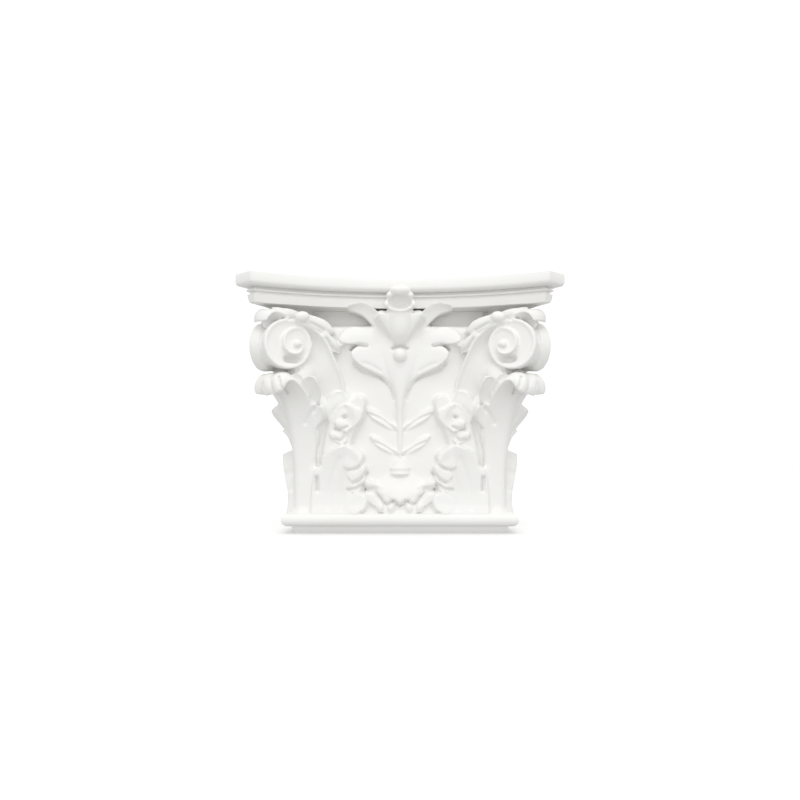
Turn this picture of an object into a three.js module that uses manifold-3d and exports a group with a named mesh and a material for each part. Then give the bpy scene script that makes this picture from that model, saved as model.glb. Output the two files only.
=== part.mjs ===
// Corinthian pilaster capital, moulded in one piece in white rigid foam. It stands on a rectangular
// pilaster shaft with its back flat against a wall. From the bottom up it has a fillet and a torus, a bell
// clothed in acanthus leaves, two corner volutes and a curved abacus with a flower on it. Millimetres, +Z
// up, the front faces -Y. The origin is the middle of the flat underside.
import * as THREE from "three";
import { mergeVertices } from "three/addons/utils/BufferGeometryUtils.js";
import Module from "manifold-3d";

const wasm = await Module();
wasm.setup();

// Driving dimensions
const SHAFT_WIDTH = 200; // the pilaster shaft below, across its front
const SHAFT_DEPTH = 56; // how far that shaft stands out from the wall
const HEIGHT = 243;
const ABACUS_HEIGHT = 26;
const ABACUS_MIDDLE = 72; // the abacus's front at its middle, out from the wall
const ABACUS_RADIUS = 270; // of its hollow front
const ABACUS_ARC = 60; // degrees of that arc from horn to horn
const TORUS_RADIUS = 6.2;
const TORUS_OUT = 2.8; // the middle of its round, out from the fillet
const FILLET_HEIGHT = 7.4;
const FILLET_OUT = 4.3;
const VOLUTE_RADIUS = 24;
const VOLUTE_HEIGHT = 179; // the middle of the volutes above the underside

// Sizes worked out from those
const HALF = SHAFT_WIDTH / 2;
const WALL_Y = SHAFT_DEPTH / 2;
const BASE_TOP = FILLET_HEIGHT + 2 * TORUS_RADIUS;
const SOFFIT = HEIGHT - ABACUS_HEIGHT;
const CORNER_SHIFT = HALF - SHAFT_DEPTH;
const BEHIND = 6; // pieces reach this far behind the wall plane and are trimmed flush with it

const FRONT = [0, 1]; // headings, as [across the front, out from the wall]
const DIAGONAL = [Math.SQRT1_2, Math.SQRT1_2];

const radians = (degrees) => (degrees * Math.PI) / 180;
const mix = (a, b, t) => a + (b - a) * t;
const steps = (count, make) => Array.from({ length: count }, (_, i) => make(i));

// A point by its place across the front, its distance out from the wall and its height.
const place = (across, out, up) => new THREE.Vector3(across, WALL_Y - out, up);

// A closed mesh through rings of points; each end is closed by triangles to the middle of its ring.
function loft(rings) {
  const sides = rings[0].length;
  const middleOf = (ring) => ring.reduce((sum, p) => sum.add(p), new THREE.Vector3()).divideScalar(sides);
  const last = (rings.length - 1) * sides;
  const foot = rings.length * sides;
  const index = [];
  for (let k = 0; k < sides; k++) {
    const next = (k + 1) % sides;
    for (let row = 0; row < last; row += sides) {
      index.push(row + k, row + next, row + sides + next, row + k, row + sides + next, row + sides + k);
    }
    index.push(foot, next, k, foot + 1, last + k, last + next);
  }
  const points = [...rings.flat(), middleOf(rings[0]), middleOf(rings.at(-1))];
  return new THREE.BufferGeometry().setFromPoints(points).setIndex(index);
}

// A straight-topped moulding: level outlines, one for each [inset or offset, height] of its profile.
function moulding(profile, outline) {
  const level = (offset, up) => outline(offset).map(([across, out]) => place(across, out, up));
  const rings = profile.map(([offset, up]) => level(offset, up));
  const sides = rings[0].length;
  const last = (rings.length - 1) * sides;
  const index = [];
  for (let row = 0; row < last; row += sides) {
    for (let k = 0; k < sides; k++) {
      const next = (k + 1) % sides;
      index.push(row + k, row + next, row + sides + next, row + k, row + sides + next, row + sides + k);
    }
  }
  const flat = (ring) => ring.map((p) => new THREE.Vector2(p.x, -p.y));
  for (const [a, b, c] of THREE.ShapeUtils.triangulateShape(flat(rings[0]), [])) index.push(a, c, b);
  for (const [a, b, c] of THREE.ShapeUtils.triangulateShape(flat(rings.at(-1)), [])) {
    index.push(last + a, last + b, last + c);
  }
  return new THREE.BufferGeometry().setFromPoints(rings.flat()).setIndex(index);
}

// The solid of a closed mesh, its faces turned outwards. Points nearer than the weld distance are one.
const WELD = 1e-4;
function solid(geometry) {
  const bare = geometry.clone();
  bare.deleteAttribute("normal");
  bare.deleteAttribute("uv");
  const merged = mergeVertices(bare, WELD);
  const build = (triVerts) =>
    new wasm.Manifold(
      new wasm.Mesh({ numProp: 3, vertProperties: merged.attributes.position.array, triVerts }),
    );
  const corners = steps(merged.index.count / 3, (i) => [...merged.index.array.slice(3 * i, 3 * i + 3)]);
  const whole = corners.filter(([a, b, c]) => a !== b && b !== c && c !== a);
  const triangles = new Uint32Array(whole.flat());
  const made = build(triangles);
  return made.volume() > 0 ? made : build(triangles.reverse());
}

const join = (solids) => solids.reduce((sum, next) => sum.add(next));

// Mirror images: the capital's left half, and the return side that repeats the front beside each corner.
const LEFT = new THREE.Matrix4().makeScale(-1, 1, 1);
const RETURN = new THREE.Matrix4().set(
  0, -1, 0, WALL_Y + CORNER_SHIFT,
  -1, 0, 0, WALL_Y + CORNER_SHIFT,
  0, 0, 1, 0,
  0, 0, 0, 1,
);
const mirrored = (geometries, matrix) => geometries.map((g) => g.clone().applyMatrix4(matrix));

// Base: a fillet that leans in to the shaft, and a half-round torus.
function base() {
  const torusSteps = 5;
  const [out, up] = [FILLET_OUT + TORUS_OUT, FILLET_HEIGHT + TORUS_RADIUS];
  const torus = steps(torusSteps + 1, (i) => {
    const turn = radians(mix(-90, 90, i / torusSteps));
    return [out + TORUS_RADIUS * Math.cos(turn), up + TORUS_RADIUS * Math.sin(turn)];
  });
  const profile = [[0, 0], [FILLET_OUT, FILLET_OUT], [FILLET_OUT, FILLET_HEIGHT], ...torus];
  return moulding(profile, (offset) => {
    const half = HALF + offset;
    const front = SHAFT_DEPTH + offset;
    return [[half, -BEHIND], [half, front], [-half, front], [-half, -BEHIND]];
  });
}

// Bell: the core behind the leaves. It flares to a rounded lip and is hollowed back under the abacus.
function bell() {
  const profile = [
    [1, BASE_TOP - 2], [0, 130], [4, 170], [6.5, 193], [4.5, 198.5], [-7, 201], [-7, SOFFIT + 3],
  ];
  const bevel = 7;
  return moulding(profile, (offset) => {
    const half = HALF + offset;
    const front = SHAFT_DEPTH + offset;
    const right = [[half, -BEHIND], [half, front - bevel], [half - bevel, front]];
    return [...right, ...right.map(([across, out]) => [-across, out]).reverse()];
  });
}

// Abacus: a fascia with a rounded lower edge, a fillet and a hollow band, on a plan with hollow sides and
// cut horns.
function abacus() {
  const profile = [
    [14, SOFFIT - 0.5], [12.4, SOFFIT + 1.5], [14, SOFFIT + 6.5], [12.6, SOFFIT + 9.6],
    [11.2, SOFFIT + 9.8], [11.2, SOFFIT + 12], [13.4, SOFFIT + 12.2], [13.4, SOFFIT + 13.4],
    [4, SOFFIT + 13.6], [1.2, SOFFIT + 14.8], [0, SOFFIT + 17], [0, HEIGHT],
  ];
  const frontSteps = 10;
  const sideSteps = 3;
  const arcCentre = ABACUS_MIDDLE + ABACUS_RADIUS;
  const halfArc = radians(ABACUS_ARC / 2);
  const hornSum = arcCentre - ABACUS_RADIUS * (Math.cos(halfArc) - Math.sin(halfArc));
  return moulding(profile, (inset) => {
    const radius = ABACUS_RADIUS + inset;
    const reach = (hornSum - inset * Math.SQRT2 - arcCentre) / (radius * Math.SQRT2);
    const horn = radians(45) + Math.asin(reach);
    const onArc = (turn) => [radius * Math.sin(turn), arcCentre - radius * Math.cos(turn)];
    const wall = Math.asin((CORNER_SHIFT - BEHIND) / radius);
    const side = steps(sideSteps + 1, (i) => {
      const [across, out] = onArc(mix(wall, horn, i / sideSteps));
      return [out + CORNER_SHIFT, across - CORNER_SHIFT];
    });
    const front = steps(frontSteps + 1, (i) => onArc(mix(horn, -horn, i / frontSteps)));
    return [...side, ...front, ...side.map(([across, out]) => [-across, out]).reverse()];
  });
}

// The surface that a leaf lies on. The profile is a row of [out, up] points from foot to tip, in the
// upright plane that leaves `foot` along `heading`. Its two halves fold back from a rounded midrib, by
// half the angle between them, and open towards the tip. A point on it is given by its place across,
// towards the middle of the front, its place along the profile, and its lift.
const FOLD_ROUND = 5;
const FOLD_POWER = 4;
function leafSurface({ foot, heading, profile, fold = [90, 90], lean = 0 }) {
  const curve = new THREE.CatmullRomCurve3(profile.map(([out, up]) => new THREE.Vector3(out, 0, up)));
  const length = curve.getLength();
  const [hx, ho] = heading;
  return (across, along, lift) => {
    const share = THREE.MathUtils.clamp(along / length, 0, 1);
    const over = along - share * length;
    const point = curve.getPointAt(share);
    const tangent = curve.getTangentAt(share);
    const half = radians(mix(fold[0], fold[1], share ** FOLD_POWER));
    const reach = Math.hypot(across, FOLD_ROUND);
    const sideways = across * Math.sin(half) + lean * share;
    const outwards = point.x + tangent.x * over - (reach - FOLD_ROUND) * Math.cos(half);
    const level = lift * tangent.z;
    const liftOut = outwards + level * Math.sin(half);
    const liftSide = sideways + level * Math.cos(half) * (across / reach);
    return place(
      foot[0] + hx * liftOut - ho * liftSide,
      foot[1] + ho * liftOut + hx * liftSide,
      point.z + tangent.z * over - tangent.x * lift,
    );
  };
}

// A lobe on such a surface, from its root to its tip: a spoon with raised edges that turns outwards at the
// tip.
const LOBE_STATIONS = [0, 0.45, 0.8, 1];
const LOBE_SIDES = 6;
const LOBE_WIDEST = 0.6;
const LOBE_ROOT = 0.5;
const LOBE_END = 1.04;
const LOBE_TIP_DEPTH = 0.5; // share of its thickness that is left at the tip
function spoon(t) {
  const swell = Math.sin(Math.min(t / LOBE_WIDEST, 1) * radians(90));
  const close = Math.max(0, (t - LOBE_WIDEST) / (LOBE_END - LOBE_WIDEST));
  return mix(LOBE_ROOT, 1, swell) * Math.sqrt(1 - close * close);
}

const PLAIN_LOBE = { bow: 0, rise: [0, 4], cup: 1.4, thick: 7, sides: LOBE_SIDES };
function lobe(surface, form) {
  const { from, to, width, bow, rise, cup, thick, sides } = { ...PLAIN_LOBE, ...form };
  const run = [to[0] - from[0], to[1] - from[1]];
  const length = Math.hypot(...run);
  const side = [-run[1] / length, run[0] / length];
  return loft(
    LOBE_STATIONS.map((t) => {
      const half = (width / 2) * spoon(t);
      const bend = bow * Math.sin(Math.PI * t);
      return steps(sides, (k) => {
        const turn = (2 * Math.PI * k) / sides;
        const shift = half * Math.cos(turn) + bend;
        const depth = thick * Math.max(0, -Math.sin(turn)) * mix(1, LOBE_TIP_DEPTH, t);
        const lift = mix(rise[0], rise[1], t * t) + cup * Math.cos(turn) ** 2 - depth;
        const [across, along] = [0, 1].map((i) => from[i] + run[i] * t + side[i] * shift);
        return surface(across, along, lift);
      });
    }),
  );
}

// A leaf: one blade up the whole of its surface, its edges cut into lobes. `ends` are the places along its
// midrib where its lobes begin, with the tip last, and `halves` are their half widths. Each lobe sweeps up
// from the midrib, swells, turns outwards and ends in a notch, whose half width is a share of the next
// lobe's. The stations after a notch give the share of the lobe's length, the share of its half width, and
// how far its edge is turned.
const LEAF_STATIONS = [[0.5, 1, 0.6], [0.9, 0.94, 1]];
const TIP_TURNED = 0.8;
const HOLLOW_SHARE = 0.3; // rise of the hollow beside the midrib, as a share of the edge's rise
const HOLLOW_DEPTH = 0.5;
const BACK_ROUND = 1.1;
const PLAIN_LEAF = { backs: [-0.6, 0.6], rise: 4, ridge: 1.5, tip: 0.35 };
function leaf(surface, form) {
  const { ends, halves, notches, sweep, back, backs, rise, ridge, tip } = { ...PLAIN_LEAF, ...form };
  const stations = halves.flatMap((half, i) => {
    const along = (t) => mix(ends[i], ends[i + 1], t);
    const swell = LEAF_STATIONS.map(([t, width, turned]) => [along(t), half * width, turned]);
    return [[ends[i], half * notches[i], 0], ...swell];
  });
  stations.push([ends.at(-1), halves.at(-1) * tip, TIP_TURNED]);
  return loft(
    stations.map(([along, half, turned]) => {
      const share = along / ends.at(-1);
      const edge = rise * turned;
      const hollow = HOLLOW_SHARE * edge - HOLLOW_DEPTH;
      const depth = mix(back[0], back[1], share);
      const slant = half * sweep * (1 - share ** 3);
      const section = [
        [1, edge], [0.5, hollow], [0, ridge], [-0.5, hollow], [-1, edge],
        ...backs.map((across) => [across, hollow + depth * Math.sqrt(BACK_ROUND - across * across)]),
      ];
      const upAt = (across) => along + slant * Math.abs(across);
      return section.map(([across, lift]) => surface(half * across, upAt(across), lift));
    }),
  );
}

// Corner leaf: the tall leaf under each volute. Its midrib runs up the corner, and its broad tip rolls
// over.
function cornerLeaf() {
  const surface = leafSurface({
    foot: [HALF, SHAFT_DEPTH],
    heading: DIAGONAL,
    fold: [45, 85],
    profile: [
      [2, 18], [2, 60], [4, 90], [8, 112], [15, 130],
      [23, 143], [29, 149], [33, 147], [34.5, 140], [33, 134],
    ],
  });
  const fingers = [-17, 0, 17].map((across) => ({
    from: [across * 0.85, 140],
    to: [across, 166 - Math.abs(across) * 0.2],
    width: 16,
    rise: [-2, 0],
    cup: -2,
    thick: 4,
  }));
  const form = {
    ends: [0, 58, 82, 114, 160],
    halves: [18, 39, 42, 25],
    notches: [0.86, 0.55, 0.66, 0.95],
    sweep: 0.45,
    back: [-10, -5],
    backs: [-0.9, -0.4, 0.4, 0.9],
    ridge: 3,
  };
  return [leaf(surface, form), ...fingers.map((finger) => lobe(surface, finger))];
}

// Upper leaf: the leaf beside the corner leaf, that stands behind the lower one.
function upperLeaf() {
  const surface = leafSurface({
    foot: [64, SHAFT_DEPTH],
    heading: FRONT,
    lean: 14,
    profile: [[3, 40], [7, 72], [13, 95], [20, 108], [26, 118], [27, 125], [23, 130]],
  });
  const form = {
    ends: [30, 60, 97],
    halves: [19, 16],
    notches: [0.9, 0.7],
    sweep: 0.8,
    back: [-8, -16],
  };
  return [leaf(surface, form)];
}

// Lower leaf: the leaf at the foot of the bell between the corner and the middle.
function lowerLeaf() {
  const surface = leafSurface({
    foot: [71, SHAFT_DEPTH],
    heading: FRONT,
    lean: 14,
    profile: [[2, 18], [5, 38], [10, 54], [15, 64], [18, 72], [18, 79], [14, 85]],
  });
  const form = {
    ends: [0, 16, 36, 73],
    halves: [23, 26, 20],
    notches: [0.8, 0.62, 0.66],
    sweep: 0.7,
    back: [-6, -12],
  };
  return [leaf(surface, form)];
}

// The flat front of the bell, as a surface for the foliage that grows up its middle.
const bellFront = (across, along, lift) => place(across, SHAFT_DEPTH + lift, along);

// Middle leaf: the hood at the foot of the front. It swells out of the bell and hangs over with a
// scalloped edge between pairs of side lobes.
function middleLeaf() {
  const hood = { from: [0, 62], to: [0, 30], width: 52, rise: [-1, 16], cup: -6, thick: 40, sides: 10 };
  const scallops = [-13, 0, 13].map((across) => ({
    from: [across, 46],
    to: [across, 28 + 0.2 * Math.abs(across)],
    width: 14,
    rise: [6, 16 - 0.2 * Math.abs(across)],
    cup: -2,
    thick: 30,
  }));
  const sides = [1, -1].flatMap((half) => [
    { from: [18 * half, 27], to: [34 * half, 39], width: 10, rise: [4, 9], cup: -1, thick: 18 },
    { from: [20 * half, 38], to: [35 * half, 50], width: 9, rise: [4, 6], cup: -1, thick: 14 },
  ]);
  return [hood, ...scallops, ...sides].map((form) => lobe(bellFront, form));
}

// A spindle on the bell: level rounded sections, each [up, half width, front, back], their backs in the
// bell.
const SPINDLE_ROOT = 8; // how deep its back reaches into the bell
function spindle(sections, sides) {
  return loft(
    sections.map(([up, half, front, back]) =>
      steps(sides, (k) => {
        const turn = (2 * Math.PI * k) / sides;
        const s = Math.sin(turn);
        return bellFront(half * Math.cos(turn), up, s > 0 ? mix(back, front, s) : back + SPINDLE_ROOT * s);
      }),
    ),
  );
}

// Palm: a stem that rises from a small cup on the middle of the bell, with three pairs of thick curling
// leaves.
function palm() {
  const stemSections = [[66, 3.5, 7, 0], [110, 4, 7, 0], [145, 8, 9, 0], [166, 14, 10, 2], [180, 9, 9, 3]];
  const stem = spindle(stemSections, 6);
  const small = { rise: [2, 9], cup: -2, thick: 12 };
  const large = { rise: [3, 13], cup: -3, thick: 18, width: 17 };
  const halves = [1, -1].flatMap((half) => [
    { ...small, from: [2 * half, 70], to: [28 * half, 93], width: 10, bow: 2 * half },
    { ...small, from: [2 * half, 92], to: [33 * half, 120], width: 12, bow: 3 * half },
    { ...large, from: [3 * half, 120], to: [47 * half, 172], bow: 7 * half },
    { ...large, from: [8 * half, 150], to: [52 * half, 184], bow: 6 * half },
  ]);
  const cupSections = [[56, 6, 8, 0], [58.5, 10.5, 13, 0], [61, 9, 12, 0], [66, 8, 11, 0], [71, 4, 7, 0]];
  const cup = spindle(cupSections, 8);
  const [beadRadius, beadLift, beadUp] = [6.6, 8, 172.5];
  const bead = new THREE.SphereGeometry(beadRadius, 8, 5);
  bead.translate(0, WALL_Y - SHAFT_DEPTH - beadLift, beadUp);
  return [stem, ...halves.map((form) => lobe(bellFront, form)), cup, bead];
}

// Flower: the fleuron on the abacus. A scalloped bud above a keeled calyx with two spreading wings.
function flower() {
  const sections = [[178, 4, 8, 6], [190, 9, 14, 6], [203, 14, 20, 8], [214, 13, 23, 6], [222, 9, 22, 4]];
  const calyx = spindle(sections, 6);
  const petals = [-1, 0, 1].map((side) => ({
    from: [side * 5, 206],
    to: [side * 12, 234 - Math.abs(side) * 7],
    width: 14,
    rise: [16, 27 - Math.abs(side) * 3],
    thick: 8,
  }));
  const wingSteps = 3;
  const [wingRoot, wingEnd] = [[5, 176], [48, 217]]; // its lower edge, as places across and up
  const high = SOFFIT + 3;
  const wings = [1, -1].map((side) =>
    loft(
      steps(wingSteps + 1, (i) => {
        const across = side * mix(wingRoot[0], wingEnd[0], i / wingSteps);
        const low = mix(wingRoot[1], wingEnd[1], i / wingSteps);
        const section = [[high, 0], [high, 10], [mix(low, high, 0.35), 8], [low, 12], [low, 0]];
        return section.map(([up, lift]) => bellFront(across, up, lift));
      }),
    ),
  );
  return [calyx, ...petals.map((form) => lobe(bellFront, form)), ...wings];
}

// The volute's front face: a disc that turns in towards the middle, so that a broad band joins the two
// faces of a corner.
const FACE_TURN = radians(25);
const faceOut = [Math.cos(FACE_TURN), Math.sin(FACE_TURN)];
const faceCentre = [102, 86.4];
const onFace = (radius, turn, lift, shift = 0) => {
  const outwards = radius * Math.cos(turn) + shift;
  return place(
    faceCentre[0] + faceOut[0] * outwards - faceOut[1] * lift,
    faceCentre[1] + faceOut[1] * outwards + faceOut[0] * lift,
    VOLUTE_HEIGHT + radius * Math.sin(turn),
  );
};

// Volute: the drum between its two faces, its edge hollowed on each side of a broad roll.
function voluteDrum() {
  const sides = 14;
  const stations = [[0, 1], [0.16, 0.9], [0.5, 1], [0.84, 0.9], [1, 1]];
  return loft(
    stations.map(([t, scale]) =>
      steps(sides, (k) => {
        const point = onFace(VOLUTE_RADIUS * scale, (2 * Math.PI * k) / sides, -1);
        return point.lerp(point.clone().applyMatrix4(RETURN), t);
      }),
    ),
  );
}

// The scroll on each face: a ridge that winds in to the eye, which lies nearer the middle, and stands out
// there.
const EYE_SHIFT = -6.5;
const EYE_RADIUS = 3;
const COIL_START = 125; // degrees from the outer side
const COIL_TURN = 690;
const COIL_POWER = 1.6;
const COIL_INSET = 2; // the middle of the ridge from the edge of the face
const RIDGE_HALF = [2.4, 2]; // its half width and its lift, at the edge and at the eye
const RIDGE_LIFT = [1, 5];
const RIDGE_ROOT = -3;
function scroll() {
  const stations = 15;
  return loft(
    steps(stations + 1, (i) => {
      const t = i / stations;
      const turn = radians(COIL_START - COIL_TURN * t);
      const radius = mix(VOLUTE_RADIUS - COIL_INSET, EYE_RADIUS, t ** COIL_POWER);
      const shift = EYE_SHIFT * THREE.MathUtils.smoothstep(t, 0.25, 0.6);
      const half = mix(...RIDGE_HALF, t);
      const lift = mix(...RIDGE_LIFT, t);
      const section = [[half, 0], [0, lift], [-half, 0], [0, RIDGE_ROOT]];
      return section.map(([aside, up]) => onFace(radius + aside, turn, up, shift));
    }),
  );
}

// Stem of the volute: a band that leaves the bell above the leaves and sweeps out to the top of the scroll.
const stemPlaces = [
  [50, 62, 122], [54, 66, 147], [61.5, 71, 167],
  [71, 77, 186], [84, 82, 197], [97, 87, 201],
];
const STEM_HALF = [3.5, 5]; // its half width at the ends and in the middle
const stemLine = new THREE.CatmullRomCurve3(stemPlaces.map((p) => place(...p)));
function voluteStem() {
  const stations = 6;
  const section = [[-1, 2.2], [0, 0.4], [1, 2.2], [1, -14], [-1, -14]];
  return loft(
    steps(stations + 1, (i) => {
      const t = i / stations;
      const point = stemLine.getPointAt(t);
      const tangent = stemLine.getTangentAt(t);
      const across = new THREE.Vector3(tangent.z, 0, -tangent.x).normalize();
      const half = mix(...STEM_HALF, Math.sin(Math.PI * t));
      return section.map(([aside, lift]) => {
        const moved = point.clone().addScaledVector(across, aside * half);
        moved.y -= lift;
        return moved;
      });
    }),
  );
}

// Husks: seed pods along the outer edge of the stem, the last one a bead on the volute. Each has its place
// along the stem, its half thickness and half length, and how far it stands aside.
const HUSKS = [[0.68, 3.4, 10, 4.5], [0.87, 5, 7, 4]];
const HUSK_LIFT = 2;
function husks() {
  return HUSKS.map(([t, thick, long, aside]) => {
    const point = stemLine.getPointAt(t);
    const tangent = stemLine.getTangentAt(t);
    const pod = new THREE.SphereGeometry(1, 6, 3).rotateX(radians(90)).scale(thick, thick, long);
    pod.applyQuaternion(new THREE.Quaternion().setFromUnitVectors(new THREE.Vector3(0, 0, 1), tangent));
    const out = new THREE.Vector3(-tangent.z, 0, tangent.x).normalize().multiplyScalar(aside);
    return pod.translate(point.x + out.x, point.y - HUSK_LIFT, point.z + out.z);
  });
}

// Caulis leaves: the leaflets that the volute's stem grows out of.
function caulisLeaves() {
  return [
    { from: [56, 108], to: [39, 137], width: 15, bow: -3, rise: [10, 14], thick: 18 },
    { from: [60, 108], to: [70, 138], width: 16, bow: 2, rise: [10, 14], thick: 18 },
  ].map((form) => lobe(bellFront, form));
}

// Horn leaf: a small leaf that lies on the volute under the abacus's horn, its tip bent down at the corner.
function hornLeaf() {
  const surface = leafSurface({
    foot: [HALF, SHAFT_DEPTH],
    heading: DIAGONAL,
    fold: [50, 60],
    profile: [[8, 197], [22, 202], [34, 207], [41, 208.5], [45, 206], [46, 200]],
  });
  const form = {
    ends: [0, 22, 46],
    halves: [27, 18],
    notches: [0.9, 0.85],
    sweep: -0.3,
    back: [-5, -4],
    rise: -1,
    ridge: 3,
  };
  return [leaf(surface, form)];
}

// The capital, joined into one solid and trimmed flush with the wall.
function capital() {
  const middle = [base(), bell(), abacus(), ...middleLeaf(), ...palm(), ...flower()];
  const front = [...upperLeaf(), ...lowerLeaf(), scroll(), voluteStem(), ...husks(), ...caulisLeaves()];
  const right = [...front, ...mirrored(front, RETURN), ...cornerLeaf(), voluteDrum(), ...hornLeaf()];
  const all = [...middle, ...right, ...mirrored(right, LEFT)];
  const wallDepth = 100;
  const wall = new THREE.BoxGeometry(2 * SHAFT_WIDTH, wallDepth, 2 * HEIGHT);
  wall.translate(0, WALL_Y + wallDepth / 2, HEIGHT / 2);
  const made = join(all.map(solid)).subtract(solid(wall)).getMesh();
  return new THREE.BufferGeometry()
    .setAttribute("position", new THREE.BufferAttribute(made.vertProperties, 3))
    .setIndex(new THREE.BufferAttribute(made.triVerts, 1));
}

const primedFoam = new THREE.MeshStandardMaterial({ color: 0xf1f1ef, roughness: 0.6, metalness: 0 });
const part = new THREE.Mesh(capital(), primedFoam);
part.name = "pilaster_capital";
const model = new THREE.Group();
model.add(part);

export default model;
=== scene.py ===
"""Corinthian pilaster capital: a white moulded casting with acanthus leaves, volutes and a curved abacus.

The right-hand front quarter is worked out in millimetres, across the front, out from the wall and up.
Mirror images make the return sides and the left half. The foliage and the bell are fused into one skin,
and the crisp mouldings above and below are joined to it.
"""

import math

import bpy
import numpy as np
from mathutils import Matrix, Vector


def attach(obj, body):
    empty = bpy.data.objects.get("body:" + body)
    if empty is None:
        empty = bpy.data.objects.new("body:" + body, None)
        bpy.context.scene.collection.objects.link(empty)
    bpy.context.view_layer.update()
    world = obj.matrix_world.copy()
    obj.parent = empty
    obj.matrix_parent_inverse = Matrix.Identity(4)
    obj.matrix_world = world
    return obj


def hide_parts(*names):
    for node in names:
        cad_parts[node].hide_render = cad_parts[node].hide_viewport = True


bl_info = {
    "name": "Corinthian pilaster capital",
    "version": (1, 0, 0),
    "blender": (4, 5, 0),
    "location": "View3D > Sidebar > Capital",
    "description": "Builds a moulded pilaster capital with acanthus leaves and volutes, and a plain stage",
    "category": "Object",
}

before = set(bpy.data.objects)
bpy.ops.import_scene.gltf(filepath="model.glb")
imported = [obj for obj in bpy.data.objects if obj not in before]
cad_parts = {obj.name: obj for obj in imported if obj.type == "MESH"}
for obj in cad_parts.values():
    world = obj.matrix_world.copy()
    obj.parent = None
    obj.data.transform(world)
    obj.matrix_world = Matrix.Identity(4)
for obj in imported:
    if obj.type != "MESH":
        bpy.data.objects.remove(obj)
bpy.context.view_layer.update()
NODE = "pilaster_capital"
MM = 0.001

# Sizes of the mouldings, the plan and the volutes, in millimetres. A hollow side of the abacus turns by
# the horn's angle from its middle to its end.
SHAFT_HALF = 100.0
SHAFT_DEPTH = 56.0
ABACUS_MIDDLE = 72.0
ABACUS_RADIUS = 270.0
HORN_TURN = math.radians(30)
FILLET_HEIGHT = 7.4
FILLET_OUT = 4.3
TORUS_RADIUS = 6.2
TORUS_SET_OUT = 2.8
ARRIS_BELOW = 0.5
ARRIS_ABOVE = 0.4
BELL_BEVEL = 7.0
VOLUTE_RADIUS = 24.0
VOLUTE_WAIST = 19.5
VOLUTE_UP = 179.0
WALL_Y = SHAFT_DEPTH / 2
CORNER_SHIFT = SHAFT_HALF - SHAFT_DEPTH

# How far the bell runs on behind the wall's face, where it is trimmed off with a block
BEHIND = 6.0
BLOCK_REACH = 300.0
BLOCK_THICKNESS = 100.0
BLOCK_BELOW = 50.0

# The lower leaf of a return side stands nearer to the corner than the front's. The shift of its cuts runs
# out between these heights.
SIDE_SHIFT = 12.0
SIDE_BLEND = (66, 100)

# The way that the corner faces, the rounding of a leaf's fold at its midrib, and how late the fold opens
DIAGONAL = (math.sqrt(0.5), math.sqrt(0.5))
FOLD_ROUND = 5.0
FOLD_POWER = 4

# Steps of the curves, the least distance of their knots, and the angle left open at the poles of an egg
CURVE_STEPS = 24
PATH_STEPS = 100
KNOT_GAP = 1e-9
POLE_GAP = 0.02

# How a petal closes at its tip, as two powers, and the share of its length where its outline would end
ROUND_TIP = (2.2, 0.5)
POINTED_TIP = (1.4, 0.9)
TIP_END = 1.001

# Length of a notch as a share of its petal, and how much of its thickness a free leaf keeps at its tip
NOTCH_SHARE = 0.04
FREE_TIP = 0.45

# Cuts end at this many times the tool's width, and have their full depth on faces that lean up to 60 degrees
CUT_REACH = 3
CUT_FACING = 2

# Edges sharper than this stay crisp, faces this close to an axis count as level, and a softening pass moves
# each point by this share of the way to the middle of its neighbours
CRISP_ANGLE = math.radians(38)
LEVEL_SHARE = 0.9999
SOFTEN_FACTOR = 0.5

# The stage: sizes in metres, the lamp's power in watts, and the brightness of the surroundings
FLOOR_HALF = 4.0
SOFTBOX_POWER = 2.5
SOFTBOX_SIZE = 0.7
SOFTBOX_PLACE = (0, -0.7, 0.95)
SOFTBOX_AIM = (0, 0, 0.12)
GLOW_BELOW = 0.68
GLOW_ABOVE = 1.16
GLOW_ASIDE = 0.72
GLOW_CEILING = 0.88

# The camera stands square on to the front: its place out from the wall and up, its lens and its sensor, in
# millimetres. The picture is moved by some of its pixels, so that the capital stands as low as in the photo.
CAMERA_OUT = 828
CAMERA_UP = 80.5
CAMERA_LENS = 35.9
CAMERA_SENSOR = 36
PICTURE_SIZE = 800
PICTURE_DROP = 50


# Curves and shells
def place(across, out, up):
    """Points from their places across the front, out from the wall and up."""
    across, out, up = np.broadcast_arrays(across, out, up)
    return np.stack([across, WALL_Y - out, up], axis=-1).astype(float)


def mix(a, b, t):
    """The value at the share t of the way from a to b."""
    return a + (b - a) * t


def smoothstep(t, low, high):
    """A soft step from 0 at low to 1 at high."""
    t = np.clip((t - low) / (high - low), 0, 1)
    return t * t * (3 - 2 * t)


def spline(points, count=160):
    """Points at even steps along a smooth curve through the given ones."""
    points = np.asarray(points, float)
    ends = np.vstack([2 * points[0] - points[1], points, 2 * points[-1] - points[-2]])
    t = np.linspace(0, 1, CURVE_STEPS, endpoint=False)[:, None]
    line = []
    for a, b, c, d in zip(ends, ends[1:], ends[2:], ends[3:]):
        gaps = (np.linalg.norm(q - p) ** 0.5 + KNOT_GAP for p, q in ((a, b), (b, c), (c, d)))
        before, here, after = gaps
        leave = here * ((b - a) / before - (c - a) / (before + here) + (c - b) / here)
        arrive = here * ((c - b) / here - (d - b) / (here + after) + (d - c) / after)
        line.append(
            b * (2 * t**3 - 3 * t**2 + 1)
            + leave * (t**3 - 2 * t**2 + t)
            + c * (3 * t**2 - 2 * t**3)
            + arrive * (t**3 - t**2)
        )
    line = np.vstack([*line, points[-1:]])
    run = run_along(line)
    even = np.linspace(0, run[-1], count)
    return np.stack([np.interp(even, run, column) for column in line.T], axis=1)


def run_along(line):
    """The length of a line from its start to each of its points."""
    return np.concatenate([[0], np.cumsum(np.linalg.norm(np.diff(line, axis=0), axis=1))])


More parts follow.
